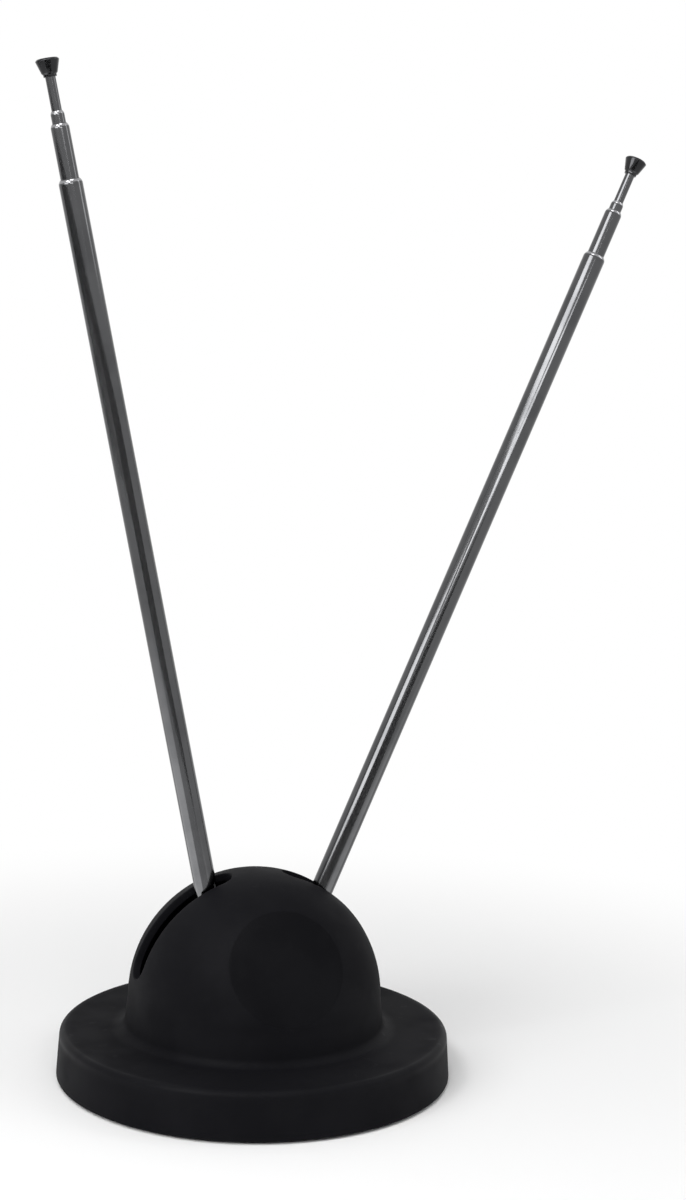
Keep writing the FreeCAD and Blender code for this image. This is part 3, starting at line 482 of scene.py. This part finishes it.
def spread(tree, value, fromLow, fromHigh, low, high):  # carries a value smoothly from one range to another
    node = addNode(tree, "MapRange", interpolation_type="SMOOTHSTEP", inputs={
        "Value": value, "From Min": fromLow, "From Max": fromHigh, "To Min": low, "To Max": high})
    return node.outputs["Result"]


def tint(tree, factor, first, second):  # a colour between two, by a mask
    node = addNode(tree, "Mix", data_type="RGBA")
    tree.links.new(factor, node.inputs["Factor"])
    for name, colour in (("A", first), ("B", second)):
        socket = next(s for s in node.inputs if s.name == name and s.type == "RGBA")
        if isinstance(colour, bpy.types.NodeSocket):
            tree.links.new(colour, socket)
        else:
            socket.default_value = (*colour, 1)
    return next(s for s in node.outputs if s.type == "RGBA")


def newGroup(name, inputs, outputs):
    tree = bpy.data.node_groups.new(name, "ShaderNodeTree")
    for label, value in inputs.items():
        kind = "NodeSocketVector" if value is None else "NodeSocketFloat"
        socket = tree.interface.new_socket(name=label, in_out="INPUT", socket_type=kind)
        if value is not None:
            socket.default_value = value
    for label in outputs:
        tree.interface.new_socket(name=label, in_out="OUTPUT", socket_type="NodeSocketFloat")
    return tree, tree.nodes.new("NodeGroupInput").outputs, tree.nodes.new("NodeGroupOutput").inputs


# patterns: scales per metre, turns in radians, depths in mm
mouldLook = {
    "grainScale": 1500.0, "patchScale": 40.0, "patchRange": (0.3, 0.7), "grainDepth": 0.06,
    "rubTurn": (0.4, 0.9, 0.3), "rubScale": (260, 260, 14), "rubRange": (0.6, 0.75), "rubRough": -0.08,
}
streakLook = {
    "streakScale": 2200.0, "stretch": (1, 1, 0.012), "streakRange": (0.35, 0.65),
    "smudgeScale": 70.0, "smudgeRange": (0.42, 0.68), "bump": 0.04, "depth": 0.02,
}


def makeMouldGrain(look):  # eroded tool grain, slow unevenness and fine rubbing marks of a moulding
    tree, given, result = newGroup(
        "mouldGrain", {"Grain Scale": look["grainScale"], "Patch Scale": look["patchScale"]},
        ("Grain", "Patch", "Rub"))
    place = addNode(tree, "TexCoord").outputs["Object"]
    grain = addNode(tree, "TexNoise", {
        "Vector": place, "Scale": given["Grain Scale"], "Detail": 2.0, "Roughness": 0.6})
    patch = addNode(tree, "TexNoise", {
        "Vector": place, "Scale": given["Patch Scale"], "Detail": 3.0, "Roughness": 0.55})
    marks = addNode(tree, "Mapping", {
        "Vector": place, "Rotation": look["rubTurn"], "Scale": look["rubScale"]})
    rub = addNode(tree, "TexNoise", {"Vector": marks.outputs["Vector"], "Scale": 1.0, "Detail": 4.0})
    tree.links.new(grain.outputs["Fac"], result["Grain"])
    tree.links.new(spread(tree, patch.outputs["Fac"], *look["patchRange"], 0, 1), result["Patch"])
    tree.links.new(spread(tree, rub.outputs["Fac"], *look["rubRange"], 0, 1), result["Rub"])
    return tree


def makeDrawnStreaks(look):  # die lines along a drawn tube or bar, and the smudges of handling
    tree, given, result = newGroup(
        "drawnStreaks",
        {"Vector": None, "Streak Scale": look["streakScale"], "Smudge Scale": look["smudgeScale"]},
        ("Streak", "Smudge"))
    along = addNode(tree, "Mapping", {"Vector": given["Vector"], "Scale": look["stretch"]})
    streak = addNode(tree, "TexNoise", {
        "Vector": along.outputs["Vector"], "Scale": given["Streak Scale"], "Detail": 3.0})
    smudge = addNode(tree, "TexNoise", {
        "Vector": given["Vector"], "Scale": given["Smudge Scale"], "Detail": 4.0, "Roughness": 0.6})
    tree.links.new(spread(tree, streak.outputs["Fac"], *look["streakRange"], 0, 1), result["Streak"])
    tree.links.new(spread(tree, smudge.outputs["Fac"], *look["smudgeRange"], 0, 1), result["Smudge"])
    return tree


mouldGrain = makeMouldGrain(mouldLook)
drawnStreaks = makeDrawnStreaks(streakLook)


def newMaterial(name):
    material = bpy.data.materials.new(name)
    material.use_nodes = True
    return material, material.node_tree, material.node_tree.nodes["Principled BSDF"]


def addBump(tree, shader, height, strength, distance):
    bump = addNode(tree, "Bump", {"Height": height, "Strength": strength, "Distance": distance * mm})
    tree.links.new(bump.outputs["Normal"], shader.inputs["Normal"])


def addGroup(tree, group, **values):
    node = addNode(tree, "Group", node_tree=group)
    for key, value in values.items():
        node.inputs[key].default_value = value
    return node


# moulded plastics: colours, roughness and grain of each
plasticLook = {
    "housingPlastic": {
        "dark": (0.0035, 0.0035, 0.0046), "light": (0.0050, 0.0050, 0.0063), "rough": (0.60, 0.72),
        "specular": 0.056, "grain": 1500, "patch": 36, "bump": 0.10,
        "zones": [  # where the sheen differs: reach and level, each rising and falling, and the change
            {"reach": (57.5, 59.0, 70, 71), "level": (11.5, 14.0, 30, 31), "rough": -0.16},  # rubbed rim
            {"reach": (42.5, 45.0, 56.0, 58.5), "level": (14, 15, 16, 17), "rough": 0.10},  # deck
        ],
        "field": {  # the flat field is made darker in colour and rougher than the dome
            "tilt": 28.3, "depth": (46.92, 47.08), "level": (22, 24, 60, 61), "colour": 0.75, "rough": 0.04}},
    "coverPlastic": {
        "dark": (0.0055, 0.0055, 0.0062), "light": (0.0080, 0.0080, 0.0088), "rough": (0.60, 0.72),
        "specular": 0.12, "grain": 1100, "patch": 30, "bump": 0.16},
    "carrierPlastic": {
        "dark": (0.020, 0.020, 0.022), "light": (0.030, 0.030, 0.032), "rough": (0.45, 0.58),
        "specular": 0.4, "grain": 1300, "patch": 60, "bump": 0.10},
}


# a mask that rises over the first two of four values and falls over the others
def between(tree, value, ends):
    rise = spread(tree, value, ends[0] * mm, ends[1] * mm, 0, 1)
    fall = spread(tree, value, ends[2] * mm, ends[3] * mm, 1, 0)
    return addNode(tree, "Math", {0: rise, 1: fall}, operation="MULTIPLY").outputs[0]


def addScaled(tree, value, mask, change):  # adds a change where a mask says so
    return addNode(tree, "Math", {0: mask, 1: change, 2: value}, operation="MULTIPLY_ADD").outputs[0]


def addZones(tree, zones, rough):
    place = addNode(tree, "TexCoord").outputs["Object"]
    level = addNode(tree, "SeparateXYZ", {"Vector": place}).outputs["Z"]
    outward = addNode(tree, "VectorMath", {0: place, 1: (1, 1, 0)}, operation="MULTIPLY").outputs["Vector"]
    reach = addNode(tree, "VectorMath", {0: outward}, operation="LENGTH").outputs["Value"]
    for zone in zones:
        across, upward = between(tree, reach, zone["reach"]), between(tree, level, zone["level"])
        mask = addNode(tree, "Math", {0: across, 1: upward}, operation="MULTIPLY").outputs[0]
        rough = addScaled(tree, rough, mask, zone["rough"])
    return rough


def addField(tree, field, colour, rough):
    place = addNode(tree, "TexCoord").outputs["Object"]
    level = addNode(tree, "SeparateXYZ", {"Vector": place}).outputs["Z"]
    tilt = radians(field["tilt"])
    facing = (0, -cos(tilt), sin(tilt))
    depth = addNode(tree, "VectorMath", {0: place, 1: facing}, operation="DOT_PRODUCT").outputs["Value"]
    ahead = spread(tree, depth, *[end * mm for end in field["depth"]], 0, 1)
    upward = between(tree, level, field["level"])
    mask = addNode(tree, "Math", {0: ahead, 1: upward}, operation="MULTIPLY").outputs[0]
    darker = addNode(tree, "Math", {0: mask, 1: field["colour"] - 1, 2: 1}, operation="MULTIPLY_ADD")
    scaled = addNode(tree, "VectorMath", {0: colour, "Scale": darker.outputs[0]}, operation="SCALE")
    return scaled.outputs["Vector"], addScaled(tree, rough, mask, field["rough"])


def makePlastic(name, look):
    material, tree, shader = newMaterial(name)
    grain = addGroup(tree, mouldGrain, **{"Grain Scale": look["grain"], "Patch Scale": look["patch"]})
    colour = tint(tree, grain.outputs["Patch"], look["dark"], look["light"])
    low, high = look["rough"]
    rough = spread(tree, grain.outputs["Patch"], 0, 1, high, low)
    rubbed = spread(tree, grain.outputs["Rub"], 0, 1, 0, mouldLook["rubRough"])
    rough = addNode(tree, "Math", {0: rough, 1: rubbed}, operation="ADD").outputs[0]
    if "zones" in look:
        rough = addZones(tree, look["zones"], rough)
    if "field" in look:
        colour, rough = addField(tree, look["field"], colour, rough)
    tree.links.new(colour, shader.inputs["Base Color"])
    tree.links.new(rough, shader.inputs["Roughness"])
    shader.inputs["Specular IOR Level"].default_value = look["specular"]
    addBump(tree, shader, grain.outputs["Grain"], look["bump"], mouldLook["grainDepth"])
    return material


# metals: colours, roughness and lines of each
metalLook = {
    # rod and cap chrome: colours set far darker than chrome, a painted shade over the whole metal that stands
    # for darker surroundings reflected in it
    "rodChrome": {
        # the last colour is a painted glint, put on the upward slope of each tube's rolled end
        "dark": (0.080, 0.081, 0.084), "light": (0.096, 0.097, 0.100), "rolled": (0.30, 0.30, 0.31),
        "rough": (0.09, 0.16), "lines": 2200},
    "capChrome": {
        "dark": (0.031, 0.0315, 0.033), "light": (0.041, 0.0415, 0.043),
        "rough": (0.08, 0.14), "lines": 2600},
    "ballastSteel": {
        "dark": (0.20, 0.195, 0.19), "light": (0.34, 0.33, 0.32),
        "rough": (0.34, 0.52), "lines": 900},
    "platedSteel": {
        "dark": (0.40, 0.40, 0.38), "light": (0.55, 0.55, 0.53),
        "rough": (0.24, 0.38), "lines": 1500},
    "tagBrass": {
        "dark": (0.46, 0.43, 0.34), "light": (0.62, 0.60, 0.52),
        "rough": (0.26, 0.42), "lines": 1200},
    "sleeveBronze": {
        "dark": (0.36, 0.22, 0.10), "light": (0.50, 0.33, 0.16),
        "rough": (0.24, 0.38), "lines": 1600},
}


def makeMetal(name, look, lean=0):
    material, tree, shader = newMaterial(name)
    place = addNode(tree, "TexCoord").outputs["Object"]
    upright = addNode(tree, "Mapping", {"Vector": place, "Rotation": (0, -radians(lean), 0)})
    streaks = addGroup(tree, drawnStreaks, **{"Streak Scale": look["lines"]})
    tree.links.new(upright.outputs["Vector"], streaks.inputs["Vector"])
    colour = tint(tree, streaks.outputs["Smudge"], look["light"], look["dark"])
    # painted glint: the marked band of each rolled end gets a much brighter colour
    if "rolled" in look:
        mark = addNode(tree, "Attribute", attribute_name="rolled").outputs["Fac"]
        colour = tint(tree, mark, colour, look["rolled"])
    tree.links.new(colour, shader.inputs["Base Color"])
    low, high = look["rough"]
    drawn = spread(tree, streaks.outputs["Streak"], 0, 1, low, (low + high) / 2)
    handled = spread(tree, streaks.outputs["Smudge"], 0, 1, 0, (high - low) / 2)
    rough = addNode(tree, "Math", {0: drawn, 1: handled}, operation="ADD").outputs[0]
    tree.links.new(rough, shader.inputs["Roughness"])
    shader.inputs["Metallic"].default_value = 1
    addBump(tree, shader, streaks.outputs["Streak"], streakLook["bump"], streakLook["depth"])
    return material


# rubber, laminate, ferrite and wire insulation: two colours, roughness and a grain
otherLook = {
    "footRubber": {
        "dark": (0.016, 0.016, 0.016), "light": (0.030, 0.030, 0.029), "rough": (0.82, 0.95),
        "specular": 0.2, "grain": 700, "patch": 120, "bump": 0.5},
    "boardLaminate": {
        "dark": (0.17, 0.085, 0.030), "light": (0.26, 0.140, 0.055), "rough": (0.42, 0.58),
        "specular": 0.4, "grain": 900, "patch": 240, "bump": 0.12},
    "coreFerrite": {
        "dark": (0.030, 0.030, 0.033), "light": (0.055, 0.055, 0.060), "rough": (0.48, 0.64),
        "specular": 0.5, "grain": 1800, "patch": 300, "bump": 0.25},
    "leadInsulation": {
        "dark": (0.30, 0.022, 0.018), "light": (0.40, 0.034, 0.026), "rough": (0.34, 0.46),
        "specular": 0.5, "grain": 1200, "patch": 180, "bump": 0.08},
}

finishes = {name: makePlastic(name, look) for name, look in plasticLook.items()}
finishes.update({name: makePlastic(name, look) for name, look in otherLook.items()})
for name, look in metalLook.items():
    if name in ("rodChrome", "capChrome"):
        for side, lean in leans.items():
            finishes[name + side.title()] = makeMetal(name + side.title(), look, lean)
    else:
        finishes[name] = makeMetal(name, look)


def paint(piece, material):
    if not piece.material_slots:
        piece.data.materials.append(material)
    for materialSlot in piece.material_slots:
        materialSlot.material = material


paint(housing, finishes["housingPlastic"])
for (side, part), piece in rodPieces.items():
    paint(piece, finishes[("capChrome" if part == "tip_cap" else "rodChrome") + side.title()])
basePaint = {
    "bottom_cover": "coverPlastic", "cover_screws": "platedSteel", "foot_pad": "footRubber",
    "ballast_plate": "ballastSteel", "pivot_carrier": "carrierPlastic", "carrier_screws": "platedSteel",
    "balun_board": "boardLaminate", "balun_core": "coreFerrite",
}
sidePaint = {
    "pivot_screw": "platedSteel", "pivot_nut": "platedSteel", "spring_washer": "platedSteel",
    "plain_washer": "platedSteel", "solder_tag": "tagBrass", "lead": "leadInsulation",
    "second_sleeve": "sleeveBronze", "third_sleeve": "sleeveBronze", "tip_sleeve": "sleeveBronze",
}
for node, finish in basePaint.items():
    paint(nodes[node], finishes[finish])
for side in leans:
    for part, finish in sidePaint.items():
        paint(nodes[side + "_" + part], finishes[finish])
    paint(nodes[side + "_rod_foot"], finishes["rodChrome" + side.title()])
print("materials:", len(finishes))


# a mask of the rays that come from the camera, from a polished surface or through glass
def seenRays(tree):
    path = addNode(tree, "LightPath").outputs
    seen = path["Is Camera Ray"]
    for kind in ("Is Glossy Ray", "Is Transmission Ray"):
        seen = addNode(tree, "Math", {0: seen, 1: path[kind]}, operation="MAXIMUM").outputs[0]
    return seen


# pale floor: it keeps the shadow near the base and runs out to the white background
floorLook = {"size": 8000, "colour": 0.95, "near": 70, "far": 310}
clearSelection()
bpy.ops.mesh.primitive_plane_add(size=floorLook["size"] * mm)
floor = bpy.context.object
floor.name = "floor"
material, tree, shader = newMaterial("paleFloor")
tree.nodes.remove(shader)
place = addNode(tree, "TexCoord").outputs["Object"]
reach = addNode(tree, "VectorMath", {0: place}, operation="LENGTH").outputs["Value"]
away = spread(tree, reach, floorLook["near"] * mm, floorLook["far"] * mm, 0, 1)
white = addNode(tree, "Math", {0: seenRays(tree), 1: away}, operation="MULTIPLY")
pale = addNode(tree, "BsdfDiffuse", {"Color": (*[floorLook["colour"]] * 3, 1)})
bright = addNode(tree, "Emission", {"Color": (1, 1, 1, 1), "Strength": 1.0})
blend = addNode(tree, "MixShader", {0: white.outputs[0], 1: pale.outputs[0], 2: bright.outputs[0]})
tree.links.new(blend.outputs[0], tree.nodes["Material Output"].inputs["Surface"])
floor.data.materials.append(material)

# studio light: white room seen directly and in reflections, soft lamps for the shape
studioLook = {
    "ambient": 0.395, "facets": 180, "flagRough": 0.9, "cardLevel": 2,
    "flags": {  # grey: distance and heights, and directions from the front
        "front": {"reach": 440, "low": 1, "high": 225, "from": -42, "to": 16, "grey": 0.42},
        "frontLow": {"reach": 440, "low": 1, "high": 65, "from": 16, "to": 22, "grey": 0.36},
        "left": {"reach": 520, "low": 150, "high": 235, "from": -112, "to": -42, "grey": 0.36},
        "leftLow": {"reach": 520, "low": 60, "high": 150, "from": -112, "to": -42, "grey": 0.70},
    },
    "cards": {  # bright near the base: distances from the middle, and directions from the front
        "left": {"inner": 110, "bright": 150, "outer": 480, "from": -135, "to": -45, "strength": 2.6},
        "right": {"inner": 110, "bright": 150, "outer": 480, "from": 22, "to": 80, "strength": 1.8},
    },
    "lamps": {  # place, aim and size, and power in watts
        "overhead": {"place": (-120, -330, 1120), "aim": (20, 0, 60), "size": (380, 380), "power": 2.05},
        "tube": {"place": (-473, -650, 732), "aim": (60, -650, 200), "size": (1000, 200), "power": 4.5},
        "front": {"place": (-172, -932, 505), "aim": (90, 0, 200), "size": (540, 140), "power": 1.75},
        "left": {"place": (-633, -377, 405), "aim": (30, 0, 80), "size": (480, 210), "power": 1.95},
        "right": {"place": (800, -250, 700), "aim": (20, 0, 120), "size": (260, 500), "power": 0.88},
    },
}
for name, look in studioLook["lamps"].items():
    bpy.ops.object.light_add(type="AREA", location=[value * mm for value in look["place"]])
    lamp = bpy.context.object
    lamp.name = lamp.data.name = name + "Lamp"
    lamp.data.shape = "RECTANGLE"
    lamp.data.size, lamp.data.size_y = (value * mm for value in look["size"])
    lamp.data.energy = look["power"]
    towards = Vector(look["aim"]) - Vector(look["place"])
    lamp.rotation_euler = towards.to_track_quat("-Z", "Y").to_euler()


def hideFromView(sheet, material):  # a flag or card is seen only in polished surfaces
    sheet.visible_camera = sheet.visible_diffuse = False
    sheet.visible_shadow = sheet.visible_transmission = False
    sheet.data.materials.append(material)


def keepBetween(look):  # keeps the faces between two directions, counted from the front
    def outside(face):
        place = face.calc_center_median()
        return not look["from"] < degrees(atan2(place.x, -place.y)) < look["to"]

    pick("faces", outside)
    bpy.ops.mesh.delete(type="FACE")
    bpy.ops.object.mode_set(mode="OBJECT")


for name, look in studioLook["flags"].items():  # grey flags bent round the front
    material, tree, shader = newMaterial(name + "Flag")
    shader.inputs["Base Color"].default_value = (*[look["grey"]] * 3, 1)
    shader.inputs["Roughness"].default_value = studioLook["flagRough"]
    shader.inputs["Specular IOR Level"].default_value = 0
    clearSelection()
    bpy.ops.mesh.primitive_cylinder_add(
        vertices=studioLook["facets"], radius=look["reach"] * mm, depth=(look["high"] - look["low"]) * mm,
        end_fill_type="NOTHING", location=(0, 0, (look["low"] + look["high"]) / 2 * mm))
    flag = openPiece(name + "Flag")
    keepBetween(look)
    hideFromView(flag, material)
for name, look in studioLook["cards"].items():  # bright cards on the floor beside the base
    material, tree, shader = newMaterial(name + "Card")
    tree.nodes.remove(shader)
    place = addNode(tree, "TexCoord").outputs["Object"]
    reach = addNode(tree, "VectorMath", {0: place}, operation="LENGTH").outputs["Value"]
    strength = spread(tree, reach, look["bright"] * mm, look["outer"] * mm, look["strength"], 1)
    glow = addNode(tree, "Emission", {"Color": (1, 1, 1, 1), "Strength": strength})
    tree.links.new(glow.outputs[0], tree.nodes["Material Output"].inputs["Surface"])
    clearSelection()
    bpy.ops.mesh.primitive_circle_add(
        vertices=studioLook["facets"], radius=look["outer"] * mm,
        location=(0, 0, studioLook["cardLevel"] * mm))
    card = openPiece(name + "Card")
    bpy.ops.mesh.extrude_region_move()
    inward = look["inner"] / look["outer"]
    bpy.ops.transform.resize(value=(inward, inward, 1), center_override=(0, 0, 0))
    keepBetween(look)
    hideFromView(card, material)
bpy.context.scene.view_settings.view_transform = "Standard"
world = bpy.data.worlds.new("studio")
bpy.context.scene.world = world
world.use_nodes = True
tree = world.node_tree
room = tree.nodes["Background"]
room.inputs["Color"].default_value = (1, 1, 1, 1)
room.inputs["Strength"].default_value = studioLook["ambient"]
shown = addNode(tree, "Background", {"Color": (1, 1, 1, 1), "Strength": 1.0})
blend = addNode(tree, "MixShader", {0: seenRays(tree), 1: room.outputs[0], 2: shown.outputs[0]})
tree.links.new(blend.outputs[0], tree.nodes["World Output"].inputs["Surface"])
print("studio:", ", ".join("%d %s" % (len(studioLook[kind]), kind) for kind in ("lamps", "flags", "cards")))
